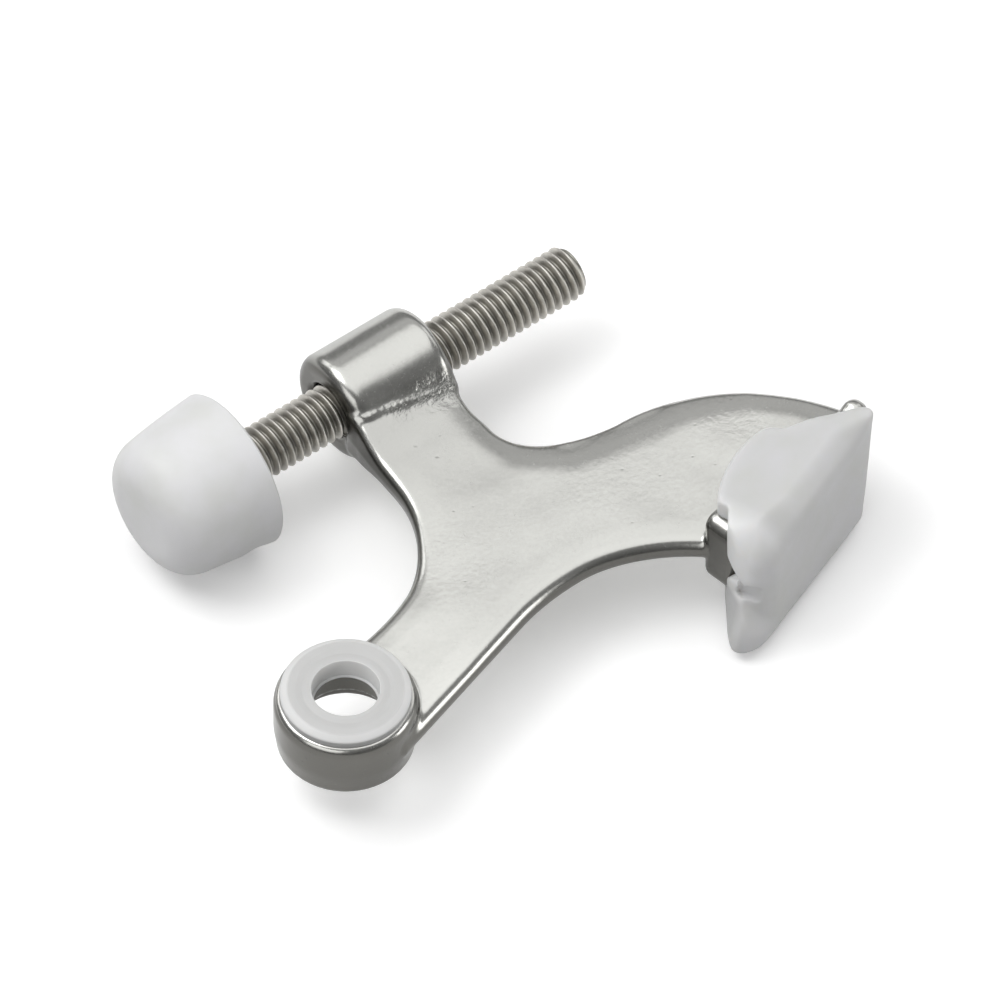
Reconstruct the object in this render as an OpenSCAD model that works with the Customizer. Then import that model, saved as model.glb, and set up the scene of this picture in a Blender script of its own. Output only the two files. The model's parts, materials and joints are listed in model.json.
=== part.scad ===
// Hinge-pin door stop: a cast Y-shaped bracket that hangs on a door's hinge pin,
// with an adjusting screw and round bumper on one arm and a padded foot on the other.
// Millimetres. Z runs along the hinge pin, and z = 0 is the eye's top face, where the
// bush flange sits. X runs along the adjusting screw, from the bumper to the free end.

/* [Hinge eye] */
// Outer radius of the eye, half-way up
eye_r = 7.45; // [7.2:0.05:8.5]
// Height of the eye along the hinge pin
eye_h = 7; // [6:0.1:8]
// Radius of the hole through the eye
eye_hole_r = 4.4; // [4.2:0.05:4.5]
// Radius of the seat at the hole's top that the bush is pressed into
bush_seat_r = 4.6; // [4.6:0.05:5]
// Radius of the recess cast in the underside of the eye
recess_r = 5.6; // [5.2:0.1:6.2]
// Depth of that recess
recess_depth = 2.2; // [1.2:0.1:3]

/* [Bush] */
// Radius of the bush's bore, for the hinge pin
pin_bore_r = 3.5; // [3.1:0.05:3.9]
// Radius of the bush's flange
flange_r = 6.9; // [6.2:0.1:7]
// Thickness of the flange
flange_t = 1.25; // [0.8:0.05:1.6]
// Length of the sleeve that is pressed into the eye
sleeve_len = 1.3; // [1:0.1:2]

/* [Arms] */
// Thickness of the bracket's arms
arm_t = 3; // [2.6:0.1:4]
// Thickness of the neck where it joins the boss
neck_t = 4.2; // [4:0.1:6]

/* [Screw] */
// Outside diameter of the adjusting screw
screw_d = 5.9; // [5.6:0.05:6]
// Depth of the screw's thread
thread_depth = 0.61; // [0.4:0.01:0.65]
// Length of the adjusting screw
screw_len = 50; // [46:1:54]
// Free end of the screw, measured along X from the hinge pin
screw_end_x = 53.2; // [50:0.1:56]
// Distance from the hinge pin to the screw's axis
screw_y = 32.65; // [31:0.05:34]
// Radial gap between the screw and the holes that it turns in
screw_gap = 0.05; // [0.03:0.01:0.1]
// Outer radius of the boss that the screw is threaded through
boss_r = 6; // [5.6:0.05:6.5]
// Length of the boss
boss_len = 12.5; // [11:0.1:14]
// Middle of the boss along X
boss_x = 28.3; // [27.8:0.1:28.8]

/* [Bumper] */
// Radius of the bumper's rear rim
bumper_r = 8.7; // [8:0.1:9.5]
// Radius of the bumper at its front, before the edge is rounded
bumper_front_r = 7.9; // [7:0.1:8]
// Rounding of the bumper's front edge
bumper_edge_r = 3.9; // [2:0.1:5]
// Length of the bumper
bumper_len = 11.75; // [10.5:0.05:13]
// Rear face of the bumper, measured along X from the hinge pin
bumper_rear_x = 10.1; // [8:0.1:12]

/* [Foot] */
// Length of the plate at the end of the foot arm
plate_len = 21.8; // [20.5:0.1:22]
// Height of the plate along Z
plate_h = 10.2; // [9:0.1:12]
// Thickness of the plate
plate_t = 3; // [2.4:0.1:3.6]
// Angle of the plate from the X axis
plate_angle = 10.7; // [10:0.1:11.5]
// Height of the rubber pad along Z
pad_h = 15.4; // [14:0.1:17]
// Length of the pad along its contact face
pad_len = 23.8; // [21:0.1:24]
// Depth of the pad from its contact face to the crown of its rounded back
pad_depth = 9.7; // [9:0.1:10.5]
// Angle of the pad's contact face from the X axis
pad_angle = 21.7; // [20:0.1:23]

/* [Hidden] */
$fn = 64;

// Every arm is centred on the eye's half height
mid_z = -eye_h / 2;
// How far a cut runs past the face that it opens
overrun = 1;
// Gap under the end of the bush's sleeve
seat_gap = 0.1;
eye_edge_r = 0.9;
eye_draft = 0.25;
flange_edge_r = 0.7;
boss_edge_r = 1.5;
countersink = 0.5;
screw_r = screw_d / 2;
screw_chamfer = 0.55;
// One turn of the screw, a whole number of which make its length
screw_pitch = 1;
thread_sides = 16;
screw_hole_r = screw_r + screw_gap;
screw_start_x = screw_end_x - screw_len;
bumper_front_x = bumper_rear_x - bumper_len;
bumper_rim = 0.5;

// Left rear corner of the foot's plate, and the middle of the pad's contact face
plate_corner = [42.5, -4.2];
plate_edge_r = 1.6;
pad_middle = [52.3, -9.9];
pad_edge_r = 2.2;
pad_corner_r = 1.6;

// The arms' outline runs into the plate this far from the plate's ends
plate_inset = [2.2, 1.2];

// Landmarks of the bracket's outline, from the eye's lower side round to its upper side
eye_low = 0.995 * eye_r * [cos(-72), sin(-72)];
hump_start = [21.5, -1.05];
hump_top = [30, 0.15];
foot_low = plate_point(-0.8, 0.46);
foot_high = plate_point(plate_len, -0.9);
crotch_end = [44.25, 12.6];
neck_right = [33.4, 21];
neck_top_y = screw_y - 0.6 * boss_r;
neck_top_right = [boss_x + boss_len / 2 - 0.15, neck_top_y];
neck_top_left = [boss_x - boss_len / 2 + 0.05, neck_top_y];
neck_left = [21.3, 19.5];
elbow_low = [13.6, 8];
eye_high = 0.965 * eye_r * [cos(51.2), sin(51.2)];
// The neck starts to thicken here on its way up to the boss
neck_flare_y = 15.15;

// Points of a cubic curve from a to d, pulled towards b and c, without its last point
function curve(a, b, c, d, n = 9) = [for (i = [0 : n - 1])
    let (t = i / n, s = 1 - t)
    s * s * s * a + 3 * s * s * t * b + 3 * s * t * t * c + t * t * t * d];

// The rest of each curve's shape is in the two points that pull it
outline = concat(
    [[0, 0], eye_low],
    curve(hump_start, [24, -0.25], [27, 0.15], hump_top, 5),
    curve(hump_top, [34, 0.1], [38.5, -2], foot_low, 8),
    [
        foot_low,
        plate_point(plate_inset[0], plate_t / 2),
        plate_point(plate_len - plate_inset[1], plate_t / 2)
    ],
    curve(foot_high, [59.6, 8.45], [51.35, 12.64], crotch_end, 12),
    curve(crotch_end, [38, 13.3], [33.4, 15.5], neck_right, 12),
    curve(neck_right, [33.2, 23.5], [33.7, 26], neck_top_right, 5),
    [neck_top_right, neck_top_left],
    curve(neck_top_left, [21.5, 26], [21.5, 22], neck_left, 5),
    curve(neck_left, [20.9, 14.6], [17.6, 9.8], elbow_low, 9),
    curve(elbow_low, [10.6, 6.6], [7.4, 6], eye_high, 6),
    [eye_high]
);

// A point on the foot's plate: run along its rear face from the left corner, then forward
function plate_point(run, forward) = plate_corner
    + run * [cos(plate_angle), sin(plate_angle)]
    + forward * [sin(plate_angle), -cos(plate_angle)];

// Quarter circle of profile points about a centre, from one angle to another
function arc(centre, r, from, to, n = 6) = [for (i = [0 : n])
    centre + r * [cos(from + (to - from) * i / n), sin(from + (to - from) * i / n)]];

// Turned shape about the screw's axis, from a profile of [radius, x] points
module turned(profile) {
    translate([0, screw_y, mid_z])
        rotate([90, 0, 90])
            rotate_extrude()
                polygon(profile);
}

module eye() {
    half = eye_h / 2;
    translate([0, 0, mid_z])
        rotate_extrude()
            polygon(concat(
                [[0, -half]],
                arc([eye_r - eye_draft - eye_edge_r, -half + eye_edge_r], eye_edge_r, -90, 0),
                [[eye_r, 0]],
                arc([eye_r - eye_draft - eye_edge_r, half - eye_edge_r], eye_edge_r, 0, 90),
                [[0, half]]
            ));
}

module arms() {
    translate([0, 0, mid_z])
        linear_extrude(arm_t, center = true)
            polygon(outline);
}

// The neck thickens from the arms' thickness up to the boss
module neck() {
    neck_end_y = neck_top_y + 1;
    intersection() {
        translate([0, 0, mid_z])
            linear_extrude(neck_t, center = true)
                polygon(outline);
        translate([boss_x, 0, mid_z])
            rotate([90, 0, 90])
                linear_extrude(boss_len + 2 * boss_r, center = true)
                    polygon([
                        [neck_flare_y, -arm_t / 2], [neck_end_y, -neck_t / 2],
                        [neck_end_y, neck_t / 2], [neck_flare_y, arm_t / 2]
                    ]);
    }
}

module boss() {
    near = boss_x - boss_len / 2;
    far = boss_x + boss_len / 2;
    turned(concat(
        [[0, near]],
        arc([boss_r - boss_edge_r, near + boss_edge_r], boss_edge_r, -90, 0),
        arc([boss_r - boss_edge_r, far - boss_edge_r], boss_edge_r, 0, 90),
        [[0, far]]
    ));
}

// Threaded hole through the boss, with a small countersink at each end
module screw_hole() {
    near = boss_x - boss_len / 2;
    far = boss_x + boss_len / 2;
    wide = screw_hole_r + countersink;
    turned([
        [0, near - overrun], [wide, near - overrun],
        [wide, near], [screw_hole_r, near + countersink],
        [screw_hole_r, far - countersink], [wide, far],
        [wide, far + overrun], [0, far + overrun]
    ]);
}

// Plate across the end of the foot arm, with rounded corners seen from the front
module foot_plate() {
    corner_x = plate_len / 2 - plate_edge_r;
    corner_z = plate_h / 2 - plate_edge_r;
    translate([plate_corner.x, plate_corner.y, mid_z])
        rotate([0, 0, plate_angle])
            translate([plate_len / 2, 0, 0])
                rotate([90, 0, 0])
                    linear_extrude(plate_t)
                        union() {
                            square([plate_len, 2 * corner_z], center = true);
                            square([2 * corner_x, plate_h], center = true);
                            for (sx = [-1, 1], sz = [-1, 1])
                                translate([sx * corner_x, sz * corner_z])
                                    circle(plate_edge_r);
                        }
}

module bracket() {
    color([0.72, 0.72, 0.69])
        difference() {
            union() {
                eye();
                arms();
                neck();
                boss();
                foot_plate();
            }
            translate([0, 0, -eye_h - overrun])
                cylinder(h = eye_h + 2 * overrun, r = eye_hole_r);
            translate([0, 0, -sleeve_len - seat_gap])
                cylinder(h = sleeve_len + seat_gap + overrun, r = bush_seat_r);
            translate([0, 0, -eye_h - overrun])
                cylinder(h = recess_depth + overrun, r = recess_r);
            screw_hole();
        }
}

module hinge_bush() {
    color([0.86, 0.87, 0.88])
        rotate_extrude()
            polygon(concat(
                [
                    [pin_bore_r, -sleeve_len], [bush_seat_r, -sleeve_len],
                    [bush_seat_r, 0], [flange_r, 0]
                ],
                arc([flange_r - flange_edge_r, flange_t - flange_edge_r], flange_edge_r, 0, 90),
                [[pin_bore_r, flange_t]]
            ));
}

// A point of the right-hand thread, i steps round the screw's axis
function thread_point(x, r, i) =
    let (angle = 360 * i / thread_sides)
    [x, screw_y + r * cos(angle), mid_z + r * sin(angle)];

// What the chamfers at the screw's ends leave of its radius at x
function chamfered_r(x) =
    screw_r - max(0, screw_chamfer - min(x - screw_start_x, screw_end_x - x));

// The thread is a V between two helices: its crest, which runs from the edge of one end
// to the edge of the other, and its root, half a turn further along X
module adjusting_screw() {
    sides = thread_sides;
    last = sides * screw_len / screw_pitch;
    end_r = screw_r - screw_chamfer;
    function along(i) = screw_start_x + screw_pitch * i / sides;
    crest_points = [for (i = [0 : last]) thread_point(along(i), chamfered_r(along(i)), i)];
    root_points = [for (i = [0 : last - sides])
        thread_point(along(i + sides / 2), screw_r - thread_depth, i)];
    near_points = [for (i = [1 : sides - 1]) thread_point(screw_start_x, end_r, i)];
    far_points = [for (i = [1 : sides - 1]) thread_point(screw_end_x, end_r, i)];

    // Where each point stands in the list of all of them
    function root(i) = last + 1 + i;
    function near(i) = i % sides == 0 ? 0 : root(last - sides) + i;
    function far(i) = i % sides == 0 ? last : near(sides - 1) + i;
    color([0.5, 0.48, 0.45])
        polyhedron(
            concat(crest_points, root_points, near_points, far_points),
            concat(
                [for (i = [0 : last - sides - 1]) [i, root(i), root(i + 1), i + 1]],
                [for (i = [0 : last - sides - 1]) [root(i), i + sides, i + sides + 1, root(i + 1)]],
                [[0, 1, near(1)], [0, sides, root(0)], [for (i = [0 : sides - 1]) near(i)]],
                [for (i = [1 : sides - 1]) [near(i), i, i + 1, near(i + 1)]],
                [[last - sides, root(last - sides), last], [last - 1, far(sides - 1), last]],
                [for (i = [0 : sides - 2]) let (k = last - sides + i) [k, far(i), far(i + 1), k + 1]],
                [[for (i = [sides - 1 : -1 : 0]) far(i)]]
            )
        );
}

// Round rubber tip with a blind socket for the screw
module bumper() {
    socket_end = screw_start_x - screw_gap;
    color([0.9, 0.9, 0.91])
        turned(concat(
            [[0, bumper_front_x]],
            arc([bumper_front_r - bumper_edge_r, bumper_front_x + bumper_edge_r], bumper_edge_r, -90, 0),
            [
                [bumper_r, bumper_rear_x - bumper_rim], [bumper_r - bumper_rim, bumper_rear_x],
                [screw_hole_r, bumper_rear_x], [screw_hole_r, socket_end], [0, socket_end]
            ]
        ));
}

// Rubber boot over the foot's plate: flat contact face, rounded back, soft top and bottom
module foot_pad() {
    color([0.87, 0.88, 0.9])
        difference() {
            translate([pad_middle.x, pad_middle.y, mid_z])
                rotate([0, 0, pad_angle])
                    intersection() {
                        linear_extrude(pad_h, center = true)
                            polygon(pad_plan());
                        pad_side();
                    }
            foot_plate();
            arms();
        }
}

// The pad seen from above, with the middle of its contact face at the origin.
// Its back is a parabola.
function pad_plan() =
    let (half = pad_len / 2, r = pad_corner_r, crown = pad_depth - r, back_steps = 9)
    concat(
        arc([half - r, r], r, -90, 0),
        [for (i = [back_steps : -1 : -back_steps]) let (t = i / (back_steps + 1))
            [half * t, r + crown * (1 - t * t)]],
        arc([r - half, r], r, 180, 270)
    );

// The pad seen from its end, run along its length
module pad_side() {
    top = pad_h / 2 - pad_edge_r;
    rotate([90, 0, 90])
        linear_extrude(2 * pad_len, center = true)
            polygon(concat(
                arc([pad_edge_r, -top], pad_edge_r, 180, 270),
                [[pad_depth + overrun, -pad_h / 2], [pad_depth + overrun, pad_h / 2]],
                arc([pad_edge_r, top], pad_edge_r, 90, 180)
            ));
}

bracket();
hinge_bush();
adjusting_screw();
bumper();
foot_pad();
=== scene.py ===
# Hinge-pin door stop: a satin nickel casting, a moulded bush, a threaded screw with
# a rubber bumper, and a rubber boot on the foot. Shapes are worked out in millimetres.
import json
import math

import bpy
import bmesh
import numpy as np
from mathutils import Matrix, Vector, noise


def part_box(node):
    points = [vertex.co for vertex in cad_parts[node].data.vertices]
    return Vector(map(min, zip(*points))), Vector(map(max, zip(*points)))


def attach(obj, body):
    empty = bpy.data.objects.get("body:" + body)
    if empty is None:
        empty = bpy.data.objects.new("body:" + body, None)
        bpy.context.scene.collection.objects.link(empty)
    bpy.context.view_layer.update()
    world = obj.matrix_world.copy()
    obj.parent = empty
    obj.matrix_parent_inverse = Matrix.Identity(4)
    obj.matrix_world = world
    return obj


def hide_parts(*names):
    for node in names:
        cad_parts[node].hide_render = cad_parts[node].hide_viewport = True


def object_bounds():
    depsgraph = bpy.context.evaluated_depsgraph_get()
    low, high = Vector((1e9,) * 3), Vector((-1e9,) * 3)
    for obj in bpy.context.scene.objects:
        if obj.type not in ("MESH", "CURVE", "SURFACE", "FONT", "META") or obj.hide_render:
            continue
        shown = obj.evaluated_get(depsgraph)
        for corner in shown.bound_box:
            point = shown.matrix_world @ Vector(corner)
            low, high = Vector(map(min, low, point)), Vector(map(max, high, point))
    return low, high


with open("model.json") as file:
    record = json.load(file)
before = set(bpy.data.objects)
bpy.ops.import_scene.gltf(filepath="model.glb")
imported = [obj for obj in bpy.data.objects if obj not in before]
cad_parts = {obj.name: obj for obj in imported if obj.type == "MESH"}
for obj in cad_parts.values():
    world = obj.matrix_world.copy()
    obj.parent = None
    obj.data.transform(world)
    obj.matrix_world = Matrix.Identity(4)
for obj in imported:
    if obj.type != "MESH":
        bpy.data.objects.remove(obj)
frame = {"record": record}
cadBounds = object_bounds()
mm = 0.001
mounts = {mount["name"]: mount for mount in frame["record"]["mounts"]}


def boxOf(node):
    low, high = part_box(node)
    return np.array(low) / mm, np.array(high) / mm


# Measures that several pieces share, all in millimetres
midZ = mounts["eye_underside"]["pos_m"][2] / mm / 2  # the casting's middle plane
screwLow, screwHigh = boxOf("adjusting_screw")
bumperLow, bumperHigh = boxOf("bumper")
bracketLow, bracketHigh = boxOf("bracket")
bushLow, bushHigh = boxOf("hinge_bush")
padLow, padHigh = boxOf("foot_pad")
partLow, partHigh = (np.array(corner) / mm for corner in cadBounds)
screwY = (screwLow[1] + screwHigh[1]) / 2
screwRadius = (screwHigh[2] - screwLow[2]) / 2
bossRadius = bracketHigh[1] - screwY
eyeRadius = -bracketLow[0]
seatStep = 0.2  # how much wider the bush's seat is than the hole below it
bushSeat = mounts["eye_hole"]["dims"]["r_mm"] + seatStep


def unit(angle):
    return np.array([math.cos(math.radians(angle)), math.sin(math.radians(angle))])


def cubicCurve(a, b, c, d, steps):
    # From a towards d, pulled to b and c, without the last point
    t = np.arange(steps)[:, None] / steps
    s = 1 - t
    a, b, c, d = (np.array(p, float) for p in (a, b, c, d))
    return s**3 * a + 3 * s * s * t * b + 3 * s * t * t * c + t**3 * d


def roundedLine(corners, steps=6):
    # Corners are (across, along, radius); the two ends stay sharp
    points = [corners[0][:2]]
    for before, here, after in zip(corners, corners[1:], corners[2:]):
        p = np.array(here[:2], float)
        a = np.array(before[:2]) - p
        b = np.array(after[:2]) - p
        la, lb = np.linalg.norm(a), np.linalg.norm(b)
        a, b = a / la, b / lb
        half = math.acos(np.clip(a @ b, -1, 1)) / 2
        radius = here[2]
        if radius <= 0 or half > math.radians(89.5):  # sharp, or almost a straight line
            points.append(tuple(p))
            continue
        reach = min(radius / math.tan(half), 0.49 * la, 0.49 * lb)
        radius = reach * math.tan(half)
        middle = p + (a + b) / np.linalg.norm(a + b) * radius / math.sin(half)
        start, end = p + a * reach - middle, p + b * reach - middle
        turn = math.atan2(start[0] * end[1] - start[1] * end[0], start @ end)
        for i in range(steps + 1):
            w = turn * i / steps
            c, s = math.cos(w), math.sin(w)
            across = middle[0] + c * start[0] - s * start[1]
            points.append((across, middle[1] + s * start[0] + c * start[1]))
    points.append(corners[-1][:2])
    return points


def roundedMeet(a, b, radius):
    # Where both distances are inside, with the edge between them rounded
    a, b = a + radius, b + radius
    return np.minimum(np.maximum(a, b), 0) + np.hypot(np.maximum(a, 0), np.maximum(b, 0)) - radius


def filletJoin(a, b, radius):
    # Either distance inside, with a fillet in the corner between them
    gap = np.hypot(np.maximum(radius - a, 0), np.maximum(radius - b, 0))
    return np.maximum(radius, np.minimum(a, b)) - gap


def softCut(a, hole, radius):
    return -filletJoin(-a, hole, radius)


def easeStep(low, high, value):
    # From 0 at low to 1 at high; low may be the larger of the two
    t = np.clip((value - low) / (high - low), 0, 1)
    return t * t * (3 - 2 * t)


def lineDistance(x, y, line):
    # Distance to an open line in the plane
    best = np.inf
    for (ax, ay), (bx, by) in zip(line, line[1:]):
        ex, ey = bx - ax, by - ay
        wx, wy = x - ax, y - ay
        t = np.clip((wx * ex + wy * ey) / (ex * ex + ey * ey), 0, 1)
        best = np.minimum(best, np.hypot(wx - t * ex, wy - t * ey))
    return best


def outlineDistance(x, y, line):
    # Distance to a closed outline in the plane, negative inside
    shape = np.broadcast(x, y).shape
    px = np.broadcast_to(x, shape).reshape(-1).astype(np.float32)
    py = np.broadcast_to(y, shape).reshape(-1).astype(np.float32)
    best = np.full(px.shape, 1e9, np.float32)
    inside = np.zeros(px.shape, bool)
    ends = np.roll(line, -1, axis=0)
    for (ax, ay), (bx, by) in zip(line.astype(np.float32), ends.astype(np.float32)):
        ex, ey = bx - ax, by - ay
        wx, wy = px - ax, py - ay
        t = np.clip((wx * ex + wy * ey) / (ex * ex + ey * ey), 0, 1)
        best = np.minimum(best, (wx - t * ex) ** 2 + (wy - t * ey) ** 2)
        if ay != by:
            above = (ay > py) != (by > py)
            inside ^= above & (wx < wy * ex / ey)
    distance = np.sqrt(best)
    return np.where(inside, -distance, distance).reshape(shape)


def surfaceOf(field, low, high, step):
    # Points and quads of the surface where the field is zero
    axes = [np.arange(l, h + step, step) for l, h in zip(low, high)]
    values = field(*np.meshgrid(*axes, indexing="ij", sparse=True))
    inside = values < 0
    cells = tuple(n - 1 for n in values.shape)
    total = np.zeros(cells + (3,))
    hits = np.zeros(cells)
    edges = []
    for axis in range(3):
        near = [slice(None)] * 3
        far = [slice(None)] * 3
        near[axis], far[axis] = slice(0, -1), slice(1, None)
        a, b = values[tuple(near)], values[tuple(far)]
        crossed = inside[tuple(near)] != inside[tuple(far)]
        where = np.argwhere(crossed)
        va, vb = a[crossed], b[crossed]
        spot = where.astype(float)
        spot[:, axis] += va / (va - vb)
        one, two = (axis + 1) % 3, (axis + 2) % 3
        corners = []
        for shiftOne, shiftTwo in ((1, 1), (0, 1), (0, 0), (1, 0)):
            cell = where.copy()
            cell[:, one] -= shiftOne
            cell[:, two] -= shiftTwo
            fits = np.all((cell >= 0) & (cell < np.array(cells)), axis=1)
            index = tuple(cell[fits].T)
            np.add.at(total, index, spot[fits])
            np.add.at(hits, index, 1)
            corners.append((cell, fits))
        whole = np.all([fits for _, fits in corners], axis=0)
        quad = np.stack([np.ravel_multi_index(tuple(cell[whole].T), cells) for cell, _ in corners], 1)
        outward = va[whole] < 0
        edges.append(np.where(outward[:, None], quad, quad[:, ::-1]))
    used = hits > 0
    points = np.array(low) + step * total[used] / hits[used][:, None]
    number = np.full(hits.size, -1)
    number[used.reshape(-1)] = np.arange(len(points))
    return points, number[np.concatenate(edges)]


def slopeOf(field, points, reach=0.01):
    value = field(*points.T)
    slope = np.stack([
        (field(*(points + reach * np.eye(3)[k]).T) - value) / reach for k in range(3)
    ], 1)
    return value, slope


def settleOn(field, points, rounds, cap=0.2):
    # Moves points onto the surface, by at most cap in a round
    for _ in range(rounds):
        value, slope = slopeOf(field, points)
        length = np.maximum((slope**2).sum(1), 0.2)
        move = np.clip(value / length, -cap, cap)
        points = points - move[:, None] * slope
    return points


def neighbourMean(points, quads, rounds, share=0.5):
    # Evens the points out between their neighbours
    pairs = np.concatenate([quads[:, [k, (k + 1) % 4]] for k in range(4)])
    ends = np.concatenate([pairs, pairs[:, ::-1]])
    count = np.bincount(ends[:, 0], minlength=len(points))[:, None]
    for _ in range(rounds):
        mean = np.stack([
            np.bincount(ends[:, 0], points[ends[:, 1], k], len(points)) for k in range(3)
        ], 1) / count
        points = points + share * (mean - points)
    return points


def evenSurface(field, low, high, step):
    points, quads = surfaceOf(field, low, high, step)
    points = settleOn(field, points, 2)
    return neighbourMean(points, quads, 2), quads


def noiseAt(points, scale, seed):
    # Smooth noise from -1 to 1 at each point, with features about one scale across
    shift = Vector((seed * 7.3, seed * 3.1, seed * 5.7))
    return np.array([noise.noise(Vector(p) / scale + shift) for p in points])


def wavesAt(points, *waves):
    # Each wave is a size, a seed and a height
    return sum(noiseAt(points, size, seed) * height for size, seed, height in waves)


def meshPiece(name, points, faces, material):
    mesh = bpy.data.meshes.new(name)
    mesh.from_pydata((np.asarray(points) * mm).tolist(), [], [list(map(int, f)) for f in faces])
    mesh.validate()
    mesh.update()
    mesh.shade_smooth()
    mesh.materials.append(material)
    piece = bpy.data.objects.new(name, mesh)
    bpy.context.scene.collection.objects.link(piece)
    return piece


def finishPiece(piece, body, node):
    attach(piece, body)
    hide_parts(node)
    print(piece.name, "has", len(piece.data.vertices), "points")


def turnedMesh(profile, steps, closed):
    # Turns (radius, along) points about the along axis; a radius of 0 is one point
    points, rings = [], []
    for radius, along in profile:
        if radius < 1e-6:
            rings.append([len(points)])
            points.append((0, 0, along))
            continue
        rings.append(list(range(len(points), len(points) + steps)))
        for k in range(steps):
            w = 2 * math.pi * k / steps
            points.append((radius * math.cos(w), radius * math.sin(w), along))
    pairs = list(zip(rings, rings[1:]))
    if closed:
        pairs.append((rings[-1], rings[0]))
    faces = []
    for a, b in pairs:
        for k in range(steps):
            n = (k + 1) % steps
            quad = [a[k % len(a)], a[n % len(a)], b[n % len(b)], b[k % len(b)]]
            corners = list(dict.fromkeys(quad))
            if len(corners) > 2:
                faces.append(corners)
    return np.array(points), faces


noiseSpan = (0.3, 0.7)  # most of a noise texture's values lie between these


def newMaterial(name):
    material = bpy.data.materials.new(name)
    material.use_nodes = True
    tree = material.node_tree
    tree.nodes.clear()
    out = tree.nodes.new("ShaderNodeOutputMaterial")
    shader = tree.nodes.new("ShaderNodeBsdfPrincipled")
    tree.links.new(shader.outputs[0], out.inputs[0])
    return material, tree, shader


def addNode(tree, kind, **values):
    # A value is one of the node's own settings, or else goes to the input of that name
    node = tree.nodes.new(kind)
    for key, value in values.items():
        if hasattr(node, key):
            setattr(node, key, value)
        else:
            node.inputs[key].default_value = value
    return node


def objectPlace(tree):
    return addNode(tree, "ShaderNodeTexCoord").outputs["Object"]


def axesOf(tree, vector):
    node = addNode(tree, "ShaderNodeSeparateXYZ")
    tree.links.new(vector, node.inputs[0])
    return node.outputs


def vectorMath(tree, operation, vector, other=None):
    node = addNode(tree, "ShaderNodeVectorMath", operation=operation)
    tree.links.new(vector, node.inputs[0])
    if other is not None:
        node.inputs[1].default_value = other
    return node.outputs


def noiseMap(tree, place, size, detail, rough=0.55):
    # A noise whose features are about size millimetres across
    node = addNode(tree, "ShaderNodeTexNoise", Scale=1 / (size * mm), Detail=detail, Roughness=rough)
    tree.links.new(place, node.inputs["Vector"])
    return node.outputs["Fac"]


def spotMap(tree, place, size):
    # Distance from the nearest of the spots scattered about size millimetres apart
    node = addNode(tree, "ShaderNodeTexVoronoi", Scale=1 / (size * mm))
    tree.links.new(place, node.inputs["Vector"])
    return node.outputs["Distance"]


def remap(tree, value, fromLow, fromHigh, toLow, toHigh):
    node = addNode(tree, "ShaderNodeMapRange", clamp=True)
    for key, number in zip((1, 2, 3, 4), (fromLow, fromHigh, toLow, toHigh)):
        node.inputs[key].default_value = number
    tree.links.new(value, node.inputs[0])
    return node.outputs[0]


def remapLength(tree, value, fromLow, fromHigh, toLow, toHigh):
    # As remap, with the range it reads given in millimetres
    return remap(tree, value, fromLow * mm, fromHigh * mm, toLow, toHigh)


def combine(tree, operation, a, b=0.0):
    node = addNode(tree, "ShaderNodeMath", operation=operation)
    for socket, value in zip(node.inputs, (a, b)):
        if isinstance(value, (int, float)):
            socket.default_value = value
        else:
            tree.links.new(value, socket)
    return node.outputs[0]


def larger(tree, a, b):
    return combine(tree, "MAXIMUM", a, b)


def product(tree, a, b):
    return combine(tree, "MULTIPLY", a, b)


def mixColour(tree, amount, a, b, kind="MIX"):
    node = addNode(tree, "ShaderNodeMix", data_type="RGBA", blend_type=kind)
    for socket, value in zip((node.inputs[0], node.inputs[6], node.inputs[7]), (amount, a, b)):
        if isinstance(value, (int, float)):
            socket.default_value = value
        elif isinstance(value, tuple):
            socket.default_value = (*value, 1)
        else:
            tree.links.new(value, socket)
    return node.outputs[2]


def toneColour(tree, value):
    node = addNode(tree, "ShaderNodeCombineColor")
    for socket in node.inputs:
        tree.links.new(value, socket)
    return node.outputs[0]


def toned(tree, colour, tone):
    return mixColour(tree, 1.0, colour, toneColour(tree, tone), "MULTIPLY")


def setRoughness(tree, shader, grain, span):
    tree.links.new(remap(tree, grain, *noiseSpan, *span), shader.inputs["Roughness"])


def addBump(tree, shader, layers):
    # Each layer is a height socket and its depth in millimetres
    normal = None
    for height, depth in layers:
        node = addNode(tree, "ShaderNodeBump", Strength=1.0, Distance=depth * mm)
        tree.links.new(height, node.inputs["Height"])
        if normal:
            tree.links.new(normal, node.inputs["Normal"])
        normal = node.outputs[0]
    tree.links.new(normal, shader.inputs["Normal"])


def nearMask(tree, place, spot, reach, most):
    # Fades out from a spot given in millimetres, with z from the part's middle plane
    core = 0.35  # the share of the reach that has the whole effect
    centre = (spot[0] * mm, spot[1] * mm, (midZ + spot[2]) * mm)
    distance = vectorMath(tree, "DISTANCE", place, centre)["Value"]
    return remapLength(tree, distance, core * reach, reach, most, 0)


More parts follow.
